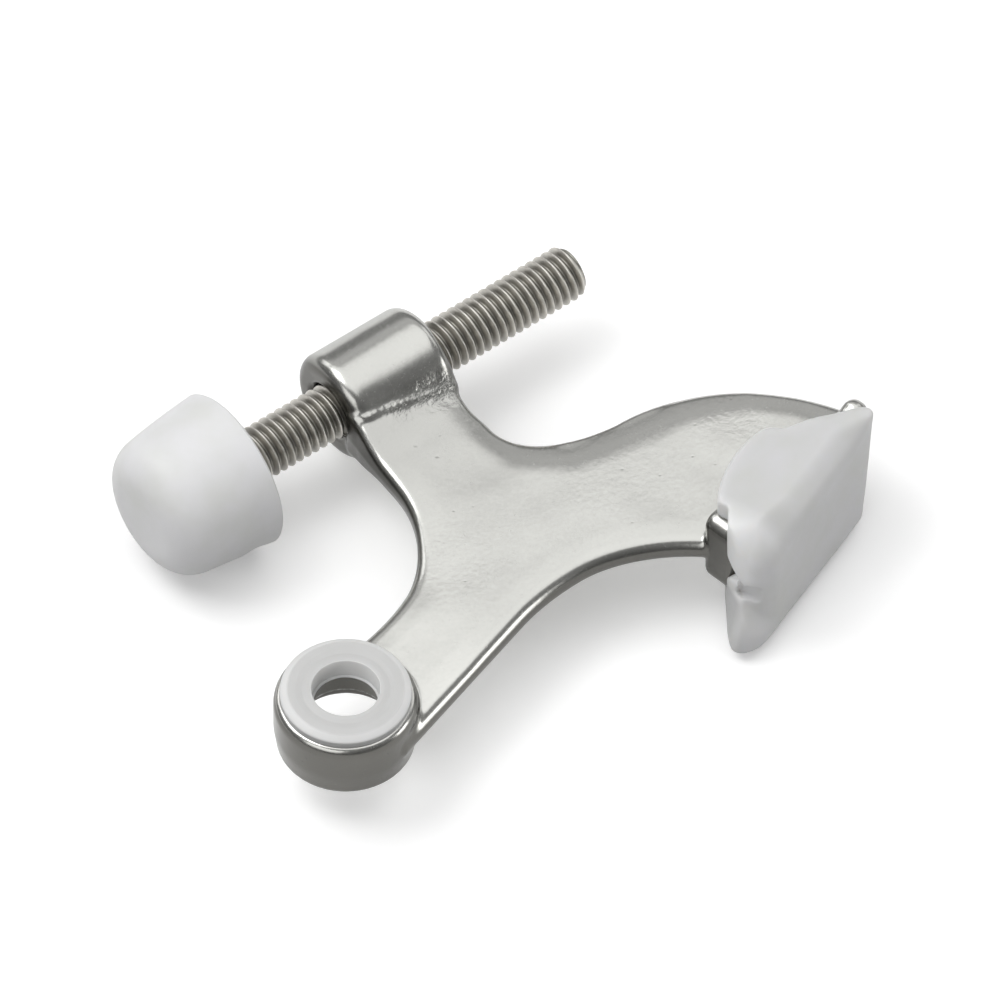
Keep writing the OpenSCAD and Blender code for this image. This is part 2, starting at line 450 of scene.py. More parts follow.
# The casting. Pairs are where a change starts and where it is complete.
bracketDesign = {
    "step": 0.26,  # mesh grid
    "marginLow": (0.6, 2.2, 0.6),
    "marginHigh": 0.6,

    # the eye
    "eyeEdge": 0.82,
    "footEdge": 0.4,
    "rimRoll": 0.34,
    "rimBlend": 0.5,
    "eyeTrim": 0.07,
    "eyeTaper": 0.26,
    "eyeFillet": 0.45,
    "eyeLowJoin": (0.995, -72),  # share of the eye's radius, and angle
    "eyeHighJoin": (0.965, 51.2),
    "pinHoleEdge": 0.15,
    "seatDepth": 1.4,
    "recessEdge": 0.2,

    # the arms
    "armThickness": 3.0,
    "armEdge": 1.3,
    "armGrow": 0.3,
    "draft": 0.09,
    "crown": 0.1,
    "crownSpan": (-3.4, -0.6),
    "neckThickness": 4.2,
    "neckFlare": (15.15, 30),  # along y
    "bulge": 1.3,
    "bulgeY": (22.5, 28.5),
    "bulgeX": (23.5, 32.5),
    "elbowSharpen": 0.35,
    "elbowX": (26, 22),
    "elbowY": (9, 14),
    "neckTrimY": (21, 24),
    "neckTrimX": (26, 30),

    # the crotch between the neck and the foot's arm
    "crotchDrop": 0.42,
    "crotchReach": 4.2,
    "crotchEdge": 0.85,
    "crotchEdgeSpan": (3.5, 1.5),
    "crotchGrow": 1.6,
    "crotchGrowSpan": (4, 2),
    "crotchGrowY": (20, 15),
    "footGrowLoss": 1.5,
    "footGrowX": (54, 62),

    # the boss
    "bossMiddle": 28.3,
    "bossLength": 12.5,
    "bossEdge": 1.5,
    "bossFillet": 0.7,
    "bossFilletGrow": 1.0,
    "filletRise": (24, 32),
    "filletFade": (35, 33),
    "bead": 0.16,
    "beadRipple": 0.5,
    "seamWidth": 0.3,
    "seamReach": 0.9,
    "screwGap": 0.05,
    "screwSink": 0.5,
    "screwSinkSpan": (-0.6, 0.1),
    "screwHoleEdge": 0.12,

    # the plate across the foot
    "plateCorner": (42.5, -4.2),
    "plateSize": (21.95, 3.0, 10.2),
    "plateAngle": 10.7,
    "plateStart": -0.6,
    "plateTaper": 0.6,
    "plateTaperRun": (0, 5),
    "plateSwell": 1.5,
    "plateFillet": 0.5,
    "plateCornerEdge": 1.6,
    "plateFaceEdge": 1.05,
    "knob": 0.5,
    "knobRun": (2.6, 1.4),  # back from the far end
    "heelRun": (2.4, 1.2),  # on from the near end
    "heelLift": 0.75,
    "heelDrop": (-1, -3),

    # the finish
    "face": (0.62, 0.62, 0.592),
    # painted shade: the dark colour that steep walls get, standing in for the dark reflections on them
    "wall": (0.14, 0.1375, 0.127),
    "levelSpan": (0.45, 0.92),  # from the painted wall shade to a face's colour, by how level the metal is
    "roughness": (0.2, 0.28),
    # painted highlight: the arm's root beside the eye keeps the face colour, standing in for the bright
    # highlight there
    "armRoot": (5.9, 4.9, 2.6),
    "rootReach": 2.8,
    "rootShare": 0.9,
    "cloudTone": (0.95, 1.03),
    "neckTone": 0.84,
    "neckY": (13, 22),
    "neckRise": (2.2, 3.2),
    "farTone": 0.88,
    "farX": (8, 24),
    "cloudSize": 9,
    "grainSize": 0.35,
    "grainDepth": 0.0012,
    "swells": (11, 1, 0.25),  # size, detail, depth
    "waves": (2.2, 2, 0.018),
    "pits": (2.7, 0.07, 0.02),  # size, width, depth
    "dents": (5.1, 0.06, 0.03),
    "skinSize": 0.55,
    "skinDepth": 0.14,
    "patchRise": 2,
    "roughPatches": [  # where the cast skin shows: middle, reach and how much
        ((30, 26.8), 3.0, 1.0),
        ((33, 26.4), 2.4, 1.0),
        ((26.5, 27.2), 2.2, 1.0),
        ((54, 7), 6.0, 0.22),
        ((40, 8), 9.0, 0.1),
        ((20, 8), 8.0, 0.1),
    ],
}


def satinNickel():
    look = bracketDesign
    material, tree, shader = newMaterial("satin_nickel")
    place = objectPlace(tree)
    x, y, z = axesOf(tree, place)

    # Painted shade: steep metal gets the dark wall colour, standing in for the dark reflections on its
    # walls, and level metal the pale face colour; a painted highlight gives the arm's root beside the eye
    # the face colour too
    facing = addNode(tree, "ShaderNodeTexCoord").outputs["Normal"]
    level = combine(tree, "ABSOLUTE", axesOf(tree, facing)[2])
    level = remap(tree, level, *look["levelSpan"], 0, 1)
    # Painted highlight near the arm's root lifts the painted wall shade
    root = nearMask(tree, place, look["armRoot"], look["rootReach"], look["rootShare"])
    colour = mixColour(tree, larger(tree, level, root), look["wall"], look["face"])

    # Darker up the neck, but not on the boss, and a little darker away from the eye
    tone = remap(tree, noiseMap(tree, place, look["cloudSize"], 2), *noiseSpan, *look["cloudTone"])
    rise = combine(tree, "ABSOLUTE", combine(tree, "SUBTRACT", z, midZ * mm))
    neckDarkening = remapLength(tree, y, *look["neckY"], 1.0, look["neckTone"])
    tone = product(tree, tone, larger(tree, neckDarkening, remapLength(tree, rise, *look["neckRise"], 0, 1)))
    tone = product(tree, tone, remapLength(tree, x, *look["farX"], 1.0, look["farTone"]))
    tree.links.new(toned(tree, colour, tone), shader.inputs["Base Color"])
    shader.inputs["Metallic"].default_value = 1.0
    grain = noiseMap(tree, place, look["grainSize"], 4, 0.65)
    setRoughness(tree, shader, grain, look["roughness"])

    layers = []
    for size, detail, depth in (look["swells"], look["waves"]):
        layers.append((noiseMap(tree, place, size, detail), depth))
    layers.append((grain, look["grainDepth"]))
    for size, width, depth in (look["pits"], look["dents"]):
        layers.append((remap(tree, spotMap(tree, place, size), 0.0, width, 0, 1), depth))
    skin = product(tree, noiseMap(tree, place, look["skinSize"], 3, 0.6), patchMask(tree, place))
    layers.append((skin, look["skinDepth"]))
    addBump(tree, shader, layers)
    return material


def patchMask(tree, place):
    # Highest in the middle of a rough patch, 0 away from all of them
    mask = None
    for (x, y), reach, most in bracketDesign["roughPatches"]:
        patch = nearMask(tree, place, (x, y, bracketDesign["patchRise"]), reach, most)
        mask = patch if mask is None else larger(tree, mask, patch)
    return mask


def platePoint(run, forward):
    along = unit(bracketDesign["plateAngle"])
    return np.array(bracketDesign["plateCorner"]) + run * along + forward * np.array([along[1], -along[0]])


def armOutline():
    # The flat Y seen from above, from the eye's lower side round to its upper side
    shape = bracketDesign
    half = shape["bossLength"] / 2
    neckTop = screwY - 0.6 * bossRadius
    lowShare, lowAngle = shape["eyeLowJoin"]
    highShare, highAngle = shape["eyeHighJoin"]
    eyeLow = lowShare * eyeRadius * unit(lowAngle)
    eyeHigh = highShare * eyeRadius * unit(highAngle)
    humpStart, humpTop = (21.5, -1.05), (30, 0.15)
    footLow = platePoint(-0.8, 0.46)
    footHigh = platePoint(shape["plateSize"][0], -0.9)
    crotchEnd, neckRight = (44.25, 12.6), (33.4, 21)
    topRight = (shape["bossMiddle"] + half - 0.15, neckTop)
    topLeft = (shape["bossMiddle"] - half + 0.05, neckTop)
    neckLeft, elbowLow = (21.3, 19.5), (13.6, 8)
    return np.concatenate([
        [(0, 0), eyeLow],
        cubicCurve(humpStart, (24, -0.25), (27, 0.15), humpTop, 12),
        cubicCurve(humpTop, (34, 0.1), (38.5, -2), footLow, 20),
        [footLow, platePoint(2.2, 1.5), platePoint(20.6, 1.5)],
        cubicCurve(footHigh, (59.6, 8.45), (51.35, 12.64), crotchEnd, 30),
        cubicCurve(crotchEnd, (38, 13.3), (33.4, 15.5), neckRight, 26),
        cubicCurve(neckRight, (33.2, 23.5), (33.7, 26), topRight, 12),
        [topRight],
        cubicCurve(topLeft, (21.5, 26), (21.5, 22), neckLeft, 12),
        cubicCurve(neckLeft, (20.9, 14.6), (17.6, 9.8), elbowLow, 24),
        cubicCurve(elbowLow, (10.6, 6.6), (7.4, 6), eyeHigh, 16),
        [eyeHigh],
    ])


bracketLine = armOutline()

# Down the neck's right side, round the crotch and out along the foot's arm
crotchLine = np.array([
    (34.0, 26.0), (33.5, 21.0), (34.6, 17.0), (38.5, 13.6), (44.25, 12.6),
    (51.4, 11.8), (58.0, 9.2), (62.0, 5.5), (64.0, 1.0),
])


def bracketField(x, y, z):
    shape = bracketDesign
    z = z - midZ
    rise = np.abs(z)

    # The arms, thicker up the neck, and thickest under the boss's near end
    flare = easeStep(*shape["neckFlare"], y)
    thick = shape["armThickness"] / 2 + flare * (shape["neckThickness"] - shape["armThickness"]) / 2
    thick = thick + shape["bulge"] * easeStep(*shape["bulgeY"], y) * (1 - easeStep(*shape["bulgeX"], x))
    crotch = lineDistance(x, y, crotchLine)
    grow = shape["crotchGrow"] - shape["footGrowLoss"] * easeStep(*shape["footGrowX"], x)
    grow = grow * easeStep(*shape["crotchGrowY"], y) * easeStep(*shape["crotchGrowSpan"], crotch)
    grow = grow - easeStep(*shape["neckTrimY"], y) * easeStep(*shape["neckTrimX"], x)
    flat = outlineDistance(x, y, bracketLine) - shape["armGrow"] * (1 + grow)
    thick = thick - shape["crown"] * easeStep(*shape["crownSpan"], flat)
    fall = np.clip(1 - crotch / shape["crotchReach"], 0, 1)
    thick = thick - shape["crotchDrop"] * fall**2
    soften = easeStep(*shape["crotchEdgeSpan"], crotch)
    edge = shape["armEdge"] + (shape["crotchEdge"] - shape["armEdge"]) * soften
    keen = shape["elbowSharpen"] * easeStep(*shape["elbowX"], x) * easeStep(*shape["elbowY"], y)
    edge = edge * (1 - keen)
    arms = roundedMeet(flat + shape["draft"] * rise, rise - thick, edge)

    # The eye, a barrel whose upper rim rolls over further than the lower one
    eyeHalf = -midZ
    across = np.hypot(x, y)
    upper = easeStep(-shape["rimBlend"], shape["rimBlend"], z)
    rim = shape["footEdge"] + (shape["eyeEdge"] - shape["footEdge"]) * upper
    taper = shape["eyeTrim"] + shape["eyeTaper"] * easeStep(-shape["rimBlend"], -eyeHalf, z)
    eye = roundedMeet(across - eyeRadius + taper, (rise - eyeHalf) * (1 - shape["rimRoll"] * upper), rim)
    whole = filletJoin(arms, eye, shape["eyeFillet"])

    # The boss that the screw is threaded through, with a bead of metal in the joint below it
    ringed = np.hypot(y - screwY, z)
    run = np.abs(x - shape["bossMiddle"]) - shape["bossLength"] / 2
    boss = roundedMeet(ringed - bossRadius, run, shape["bossEdge"])
    inner = easeStep(*shape["filletRise"], x) * easeStep(*shape["filletFade"], x)
    seam = -((arms - boss) / shape["seamWidth"]) ** 2 - (boss / shape["seamReach"]) ** 2
    seam = np.exp(seam) * easeStep(0, 1, z)
    whole = filletJoin(whole, boss, shape["bossFillet"] + shape["bossFilletGrow"] * inner)
    ripple = 1 + shape["beadRipple"] * np.sin(5 * x) * np.sin(3.1 * x + 1)
    whole = whole - shape["bead"] * seam * ripple

    # The plate across the foot
    whole = filletJoin(whole, plateBlock(x, y, z, 0), shape["plateFillet"])

    # The holes: through the eye, the bush's seat, the recess below, and the screw's
    pinHole = across - mounts["eye_hole"]["dims"]["r_mm"]
    whole = softCut(whole, pinHole, shape["pinHoleEdge"])
    whole = np.maximum(whole, -np.maximum(across - bushSeat, eyeHalf - shape["seatDepth"] - z))
    size = mounts["underside_recess"]["dims"]
    recess = np.maximum(across - size["r_mm"], z + eyeHalf - size["length_mm"])
    whole = softCut(whole, recess, shape["recessEdge"])
    sink = shape["screwSink"] * easeStep(*shape["screwSinkSpan"], run)
    return softCut(whole, ringed - screwRadius - shape["screwGap"] - sink, shape["screwHoleEdge"])


def plateDepth(x, y):
    # How far behind the middle of the foot's plate
    along = unit(bracketDesign["plateAngle"])
    middle = platePoint(0, bracketDesign["plateSize"][1] / 2)
    return (y - middle[1]) * along[0] - (x - middle[0]) * along[1]


def plateBlock(x, y, z, slack):
    # The foot's plate, with its thick near end and the knob at its far end
    shape = bracketDesign
    along = unit(shape["plateAngle"])
    long, thick, tall = shape["plateSize"]
    start = shape["plateStart"]
    middle = platePoint((start + long) / 2, thick / 2)
    spot = (x - middle[0]) * along[0] + (y - middle[1]) * along[1]
    half = (long - start) / 2
    behind = plateDepth(x, y)
    heel = easeStep(shape["heelRun"][0] - half, shape["heelRun"][1] - half, spot)
    taper = shape["plateTaper"] * easeStep(*shape["plateTaperRun"], spot)
    depth = np.maximum(-behind - shape["plateSwell"] * heel, behind + taper) - thick / 2
    knob = shape["knob"] * easeStep(half - shape["knobRun"][0], half - shape["knobRun"][1], spot)
    knob = knob - shape["heelLift"] * heel * easeStep(*shape["heelDrop"], z)
    ends, top = np.abs(spot) - half - slack, np.abs(z) - tall / 2 - knob - slack
    face = roundedMeet(ends, top, shape["plateCornerEdge"])
    return roundedMeet(face, depth - slack, shape["plateFaceEdge"])


def makeBracket(material):
    low = bracketLow - bracketDesign["marginLow"]
    high = bracketHigh + bracketDesign["marginHigh"]
    points, quads = evenSurface(bracketField, low, high, bracketDesign["step"])
    points = settleOn(bracketField, points, 1)
    piece = meshPiece("bracket_casting", points, quads, material)
    finishPiece(piece, "bracket_body", "bracket")


# What the three white materials share: sizes and depths in millimetres
whiteShared = {
    "cloudSize": 5,
    "cloudSpan": (0.35, 0.7),
    "grainSize": 0.4,
    "grainDepth": 0.002,
    "waveSize": 3.5,
    "waveDepth": 0.03,
    "spread": 1.8,  # how far light travels inside
    "spreadColour": (1.0, 0.95, 0.9),
    "ior": 1.46,
}


def whiteRubber(name, look, shade=None):
    # A shade makes a socket of painted light and shade, which darkens or lightens the colour from place to
    # place
    material, tree, shader = newMaterial(name)
    place = objectPlace(tree)
    shared = whiteShared
    cloud = noiseMap(tree, place, shared["cloudSize"], 3)
    colour = mixColour(tree, remap(tree, cloud, *shared["cloudSpan"], 0, 1), look["colour"], look["tint"])
    if shade:
        colour = toned(tree, colour, shade(tree, place))
    tree.links.new(colour, shader.inputs["Base Color"])
    grain = noiseMap(tree, place, shared["grainSize"], 3, 0.6)
    setRoughness(tree, shader, grain, look["roughness"])
    shader.inputs["Subsurface Weight"].default_value = look["glow"]
    shader.inputs["Subsurface Radius"].default_value = shared["spreadColour"]
    shader.inputs["Subsurface Scale"].default_value = shared["spread"] * mm
    shader.inputs["IOR"].default_value = shared["ior"]
    waves = noiseMap(tree, place, shared["waveSize"], 2)
    addBump(tree, shader, [(waves, shared["waveDepth"]), (grain, shared["grainDepth"])])
    return material


bushDesign = {
    "steps": 144,
    "crisp": 0.1,
    "rimGap": 0.12,
    "chamferRun": 0.85,
    "chamferDrop": 0.5,
    "dish": 0.11,
    "dishRun": (0.45, 1.0, 1.6),  # start, deepest and end, out from the bore
    "topDrop": 0.01,
    "lip": 0.2,
    "lipHeight": 0.12,

    # the finish
    "colour": (0.79, 0.79, 0.785),
    "tint": (0.765, 0.765, 0.755),
    "roughness": (0.29, 0.41),
    "glow": 0.4,
    # painted shade on the flat top, and on the rim low down
    "topTone": 0.78,
    "topRing": (5.85, 6.1),
    "boreRing": (3.55, 3.75),
    "seatTone": 0.5,
    "seatRise": (0.55, 0.85),
    "seatRing": (5.6, 6.3),
}


def bushPaintedShade(tree, place):
    # Painted shade: darker on the flange's flat top than on its lit chamfer, and low on its rim, where
    # shade falls beside the eye's metal rim
    look = bushDesign
    flat = vectorMath(tree, "MULTIPLY", place, (1, 1, 0))[0]
    radius = vectorMath(tree, "LENGTH", flat)["Value"]
    rimShade = remapLength(tree, axesOf(tree, place)[2], *look["seatRise"], look["seatTone"], 1.0)
    rimShade = larger(tree, rimShade, remapLength(tree, radius, *look["seatRing"], 1, 0))
    plateauShade = remapLength(tree, radius, *look["topRing"], look["topTone"], 1.0)
    plateauShade = larger(tree, plateauShade, remapLength(tree, radius, *look["boreRing"], 1, 0))
    return product(tree, rimShade, plateauShade)


def makeBush(material):
    # Turned from (radius, height, rounding) corners: up the bore, over the flange, down the sleeve
    shape = bushDesign
    bore = mounts["hinge_pin_bore"]["dims"]["r_mm"]
    flange = bushHigh[0] - shape["rimGap"]
    top, bottom = bushHigh[2], bushLow[2]
    brim = top - shape["topDrop"]
    dishStart, dishDeepest, dishEnd = (bore + run for run in shape["dishRun"])
    lip = bore - shape["lip"]
    corners = [
        (bore, bottom + 0.4, 0),
        (bore, top, shape["crisp"]),
        (dishStart, top, 0.5),
        (dishDeepest, top - shape["dish"], 0.6),
        (dishEnd, brim, 0.6),
        (flange - shape["chamferRun"], brim, 0.3),
        (flange - 0.06, top - shape["chamferDrop"], 0.09),
        (flange, 0.02, 0.1),
        (flange - 0.3, 0.0, 0),
        (bushSeat, 0.0, 0),
        (bushSeat, bottom, 0.2),
        (lip, bottom, 0.03),
        (lip, bottom + shape["lipHeight"], 0.03),
        (bore, bottom + 0.2, 0.03),
        (bore, bottom + 0.4, 0),
    ]
    points, faces = turnedMesh(roundedLine(corners)[:-1], shape["steps"], True)
    piece = meshPiece("hinge_bush_moulded", points, faces, material)
    finishPiece(piece, "bracket_body", "hinge_bush")


screwDesign = {
    "pitch": 1.0,
    "perTurn": 72,
    "perPitch": 16,
    "endRadius": 2.3,
    "endRun": 0.75,
    "overrun": 1.5,  # turns swept before the near end, which are pressed flat
    "crestHalf": 0.07,
    "crestFall": 0.02,
    "rootHalf": 0.36,
    "rootDip": 0.09,
    "flankSlope": 1.732,
    "weld": 0.002,
    "smallEdge": 0.0005,

    # the finish
    "crest": (0.63, 0.61, 0.565),
    # painted shade: the grooves are coloured darker than the crests
    "groove": (0.27, 0.26, 0.235),
    "grooveDepth": 0.55,
    "grimeSize": 1.3,
    "grimeTone": (0.8, 1.1),
    "roughness": (0.3, 0.46),
    "grainSize": 0.22,
    "grainDepth": 0.012,
}


def rolledSteel():
    look = screwDesign
    material, tree, shader = newMaterial("rolled_steel")
    place = objectPlace(tree)
    _, y, z = axesOf(tree, place)
    y = combine(tree, "SUBTRACT", y, screwY * mm)
    z = combine(tree, "SUBTRACT", z, midZ * mm)
    square = combine(tree, "ADD", product(tree, y, y), product(tree, z, z))
    radius = combine(tree, "SQRT", square)
    # Painted shade: the colour darkens from the crests down into the grooves
    height = remapLength(tree, radius, screwRadius - look["grooveDepth"], screwRadius, 0, 1)
    colour = mixColour(tree, height, look["groove"], look["crest"])
    grime = noiseMap(tree, place, look["grimeSize"], 4, 0.6)
    colour = toned(tree, colour, remap(tree, grime, *noiseSpan, *look["grimeTone"]))
    tree.links.new(colour, shader.inputs["Base Color"])
    shader.inputs["Metallic"].default_value = 1.0
    grain = noiseMap(tree, place, look["grainSize"], 4, 0.7)
    setRoughness(tree, shader, grain, look["roughness"])
    addBump(tree, shader, [(grain, look["grainDepth"])])
    return material


def threadDepth(phase):
    # Metric form: a flat crest, straight flanks and a rounded root, for a pitch of 1
    shape = screwDesign
    s = abs(phase - 0.5)
    crest, root, fall = shape["crestHalf"], shape["rootHalf"], shape["crestFall"]
    if s < crest:
        return fall * (s / crest) ** 2
    if s < root:
        return fall + (s - crest) * shape["flankSlope"]
    deep = fall + (root - crest) * shape["flankSlope"]
    t = (s - root) / (0.5 - root)
    return deep + shape["rootDip"] * (1 - (1 - t) ** 2)


def makeScrew(material):
    shape = screwDesign
    pitch, perTurn, perPitch = shape["pitch"], shape["perTurn"], shape["perPitch"]
    start, end = screwLow[0], screwHigh[0]
    rows = (int((end - start) / pitch) + 3) * perPitch
    points = []
    for row in range(rows):
        for k in range(perTurn):
            around = k / perTurn
            x = start - shape["overrun"] * pitch + (row / perPitch + around) * pitch
            radius = screwRadius - threadDepth((row / perPitch) % 1.0) * pitch
            held = min(max(x, start), end)
            bevel = min(held - start, end - held) / shape["endRun"]
            radius = min(radius, shape["endRadius"] + bevel * (screwRadius - shape["endRadius"]))
            w = 2 * math.pi * around
            points.append((held, screwY + radius * math.cos(w), midZ + radius * math.sin(w)))

    # Each row is one turn, so its last point joins the first point one pitch on
    faces = []
    for row in range(rows - 1):
        for k in range(perTurn):
            here = row * perTurn + k
            if k < perTurn - 1:
                faces.append((here, here + 1, here + perTurn + 1, here + perTurn))
                continue
            lift = row + perPitch
            if lift + 1 < rows:
                faces.append((here, lift * perTurn, (lift + 1) * perTurn, here + perTurn))
    piece = meshPiece("adjusting_screw_threaded", points, faces, material)
    closeEnds(piece.data)
    finishPiece(piece, "screw_body", "adjusting_screw")


def closeEnds(mesh):
    # Takes out the faces that were pressed flat at the two ends and caps the holes
    work = bmesh.new()
    work.from_mesh(mesh)
    bmesh.ops.remove_doubles(work, verts=work.verts, dist=screwDesign["weld"] * mm)
    bmesh.ops.dissolve_degenerate(work, edges=work.edges, dist=screwDesign["smallEdge"] * mm)
    flat = [f for f in work.faces if max(v.co.x for v in f.verts) - min(v.co.x for v in f.verts) < 1e-7]
    bmesh.ops.delete(work, geom=flat, context="FACES")
    bmesh.ops.holes_fill(work, edges=[e for e in work.edges if e.is_boundary], sides=0)
    bmesh.ops.delete(work, geom=[v for v in work.verts if not v.link_faces], context="VERTS")
    bmesh.ops.recalc_face_normals(work, faces=work.faces)
    work.to_mesh(mesh)
    work.free()
    mesh.shade_smooth()


bumperDesign = {
    "steps": 160,
    "spacing": 0.45,
    "faceRadius": 7.9,
    "edge": 3.95,
    "edgeSteps": 14,
    "edgeTurn": 6,  # degrees for each step round the front edge
    "waist": 8.45,
    "flare": 0.17,
    "rim": 0.15,
    "socketGap": 0.05,
    "droop": 0.2,
    "droopWay": (0.848, 0.53),
    "droopSpan": (-0.2, 1),
    "neckBack": 2.3,
    "neckReach": 2.2,
    "broadWave": (5.5, 2, 0.07),  # size, seed, height
    "fineWave": (2.4, 5, 0.02),
    "waveSink": 0.08,
    "waveFrom": 3.4,

    # the finish
    "colour": (0.79, 0.79, 0.80),
    "tint": (0.745, 0.75, 0.735),
    "roughness": (0.37, 0.49),
    "glow": 0.15,
}


def alongScrew(points):
    # From the turning axis to the screw's axis, which runs along X
    x, y, z = np.asarray(points).T
    return np.stack([z, x + screwY, y + midZ], 1)


def bumperProfile(shape):
    # Flat face, soft front edge, a cone that flares a little at the rear rim, and a blind socket
    rear, front = bumperHigh[0], bumperLow[0]
    radius = bumperHigh[2] - midZ
    socketEnd = screwLow[0] - shape["socketGap"]
    hole = screwRadius + shape["socketGap"]
    edge = shape["edge"]
    flat = shape["faceRadius"] - edge
    profile = [(0, front), (1.5, front), (flat, front)]
    for i in range(1, shape["edgeSteps"] + 1):
        bend = math.radians(shape["edgeTurn"] * i)
        profile.append((flat + edge * math.sin(bend), front + edge * (1 - math.cos(bend))))
    flank = [
        (*profile[-1], 0),
        (shape["waist"], (front + edge + rear) / 2 + 0.8, 6),
        (shape["waist"] + shape["flare"], rear - 1.3, 3),
        (radius, rear - 0.25, shape["rim"]),
        (radius - 0.25, rear, shape["rim"]),
        (radius - 1.1, rear - 0.05, 0.3),
        (hole + 1.2, rear - 0.35, 1),
        (hole + 0.6, rear - 0.3, 0.3),
        (hole, rear - 0.45, 0.3),
        (hole, socketEnd, 0.2),
        (0, socketEnd, 0),
    ]
    return roundedLine([(r, x, 0) for r, x in profile[:-1]] + flank, 8)


def makeBumper(material):
    shape = bumperDesign
    profile = bumperProfile(shape)
    dense = []
    for a, b in zip(profile, profile[1:]):
        pieces = max(1, int(math.dist(a, b) / shape["spacing"]))
        for i in range(pieces):
            dense.append((a[0] + (b[0] - a[0]) * i / pieces, a[1] + (b[1] - a[1]) * i / pieces))
    dense.append(profile[-1])
    points, faces = turnedMesh(dense, shape["steps"], False)
    outer = np.hypot(points[:, 0], points[:, 1])
    away = np.clip((outer - shape["waveFrom"]) / 2, 0, 1)
    wave = wavesAt(points, shape["broadWave"], shape["fineWave"]) - shape["waveSink"]

    # Its lower side is pulled in before the rear rim, which leaves a lip there
    wayX, wayY = shape["droopWay"]
    low = -(wayX * points[:, 0] + wayY * points[:, 1]) / np.maximum(outer, 1)
    low = easeStep(*shape["droopSpan"], low)
    neck = easeStep(shape["neckReach"], 0, np.abs(points[:, 2] - bumperHigh[0] + shape["neckBack"]))
    points[:, :2] *= (1 + away * (wave - shape["droop"] * low * neck) / np.maximum(outer, 1))[:, None]
    piece = meshPiece("bumper_rubber", alongScrew(points), faces, material)
    finishPiece(piece, "bumper_body", "bumper")


# The boot. Run is along its contact face from the middle, back is away from that face,
# and z is from the middle plane.
padDesign = {
    "step": 0.25,  # mesh grid
    "marginLow": 1.6,
    "marginHigh": 0.6,
    "angle": 21.7,
    "height": 15.4,
    "left": -9.8,
    "right": 12.2,
    "crispEdge": 0.45,
    "creaseEdge": 3.0,
    "creaseGrow": 1.7,
    "creaseRun": (-2, -7),
    "softBack": (5.5, 1.5),
    "softRise": (-1, 1),
    "softRun": (12, 7),
    "rightDraw": 2.2,
    "backDraw": 0.12,
    "backDrawDrop": (1, -5),
    "lobeSwell": 2.6,
    "lobeDrop": (0.5, -6.8),
    "lobeFade": (7.2, 1.7),
    "foldBack": 2.2,
    "foldSlope": 0.65,
    "foldRise": 2,
    "foldSpan": (-0.4, 0.6),
    "mouth": {"middle": 1.3, "half": 3.8, "back": 3.0, "deepen": 2.7, "end": -5.3},
    "mouthArch": (0.6, 2.9),  # its middle and half height
    "corner": {"back": 6.5, "slope": 0.53, "from": -6.5, "end": -6.6, "bottom": 2},
    "tearMiddle": (2.2, -0.6),  # back and z
    "tearHalf": (1.3, 0.95),
    "tearDepth": 0.75,
    "cutEdge": 0.15,
    "plateSlack": 0.03,
    "armHalf": 1.52,
    "armCutEdge": 0.2,
    "broadWave": (6, 3, 0.06),  # size, seed, height
    "fineWave": (2.2, 6, 0.012),
    "waveSink": 0.03,
    "boxGap": 0.01,

    # the finish
    "colour": (0.68, 0.68, 0.69),
    "tint": (0.645, 0.65, 0.635),
    "roughness": (0.37, 0.49),
    "glow": 0.8,
    # painted light paling the left end, and painted shadow darkening the lobe
    "endTone": 1.34,
    "endRun": (0.3, 4.5),  # on from the left end
    "endRise": (-1.5, 1.5),
    "endBack": (0.3, 2.2),
    "lobeTone": 0.8,
    "lobeToneDrop": (-1.6, -2.2),
    "lobeToneBack": (2.0, 3.2),
}


def padSockets(tree, place):
    # Run and back as sockets
    middle = Vector(mounts["pad_face"]["pos_m"])
    along = unit(padDesign["angle"])
    sockets = []
    for way in ((along[0], along[1], 0), (-along[1], along[0], 0)):
        distance = vectorMath(tree, "DOT_PRODUCT", place, way)["Value"]
        sockets.append(combine(tree, "SUBTRACT", distance, middle.dot(Vector(way))))
    return sockets


def bootPaintedLight(tree, place):
    # Painted light makes the left end paler, standing in for the light that comes through the thin wall,
    # and painted shadow makes the lobe darker, where the arm above shades it
    look = padDesign
    run, back = padSockets(tree, place)
    z = axesOf(tree, place)[2]
    end = remapLength(tree, run, *(look["left"] + on for on in look["endRun"]), 1, 0)
    end = product(tree, end, remapLength(tree, back, *look["endBack"], 0, 1))
    end = product(tree, end, remapLength(tree, z, *(midZ + up for up in look["endRise"]), 0, 1))
    lobeShadow = remapLength(tree, z, *(midZ + up for up in look["lobeToneDrop"]), 0, 1)
    lobeShadow = product(tree, lobeShadow, remapLength(tree, back, *look["lobeToneBack"], 0, 1))
    endLight = remap(tree, end, 0, 1, 1.0, look["endTone"])
    return product(tree, endLight, remap(tree, lobeShadow, 0, 1, 1.0, look["lobeTone"]))


def padPlace(x, y):
    middle = np.array(mounts["pad_face"]["pos_m"]) / mm
    along = unit(padDesign["angle"])
    dx, dy = x - middle[0], y - middle[1]
    return dx * along[0] + dy * along[1], -dx * along[1] + dy * along[0]


def padOutline():
    # The boot's top in (run, back): a D with a dip in its curve
    left, right = padDesign["left"], padDesign["right"]
    return np.concatenate([
        [(left + 2.8, 0), (right - 1.4, 0)],
        cubicCurve((right - 0.7, 0.05), (right, 0.2), (right + 0.1, 1.0), (right - 0.4, 1.7), 6),
        cubicCurve((right - 0.4, 1.7), (10.8, 3.1), (8.6, 4.9), (5.6, 6.7), 10),
        cubicCurve((5.6, 6.7), (4.8, 7.2), (5.0, 8.2), (3.9, 8.8), 7),
        cubicCurve((3.9, 8.8), (1.2, 9.9), (-3.6, 9.9), (-6.7, 7.7), 14),
        cubicCurve((-6.7, 7.7), (-8.2, 6.4), (left + 0.1, 4.1), (left, 2.7), 12),
        cubicCurve((left, 2.7), (left, 1.2), (left + 1.3, 0), (left + 2.8, 0), 8),
    ])


padLine = padOutline()


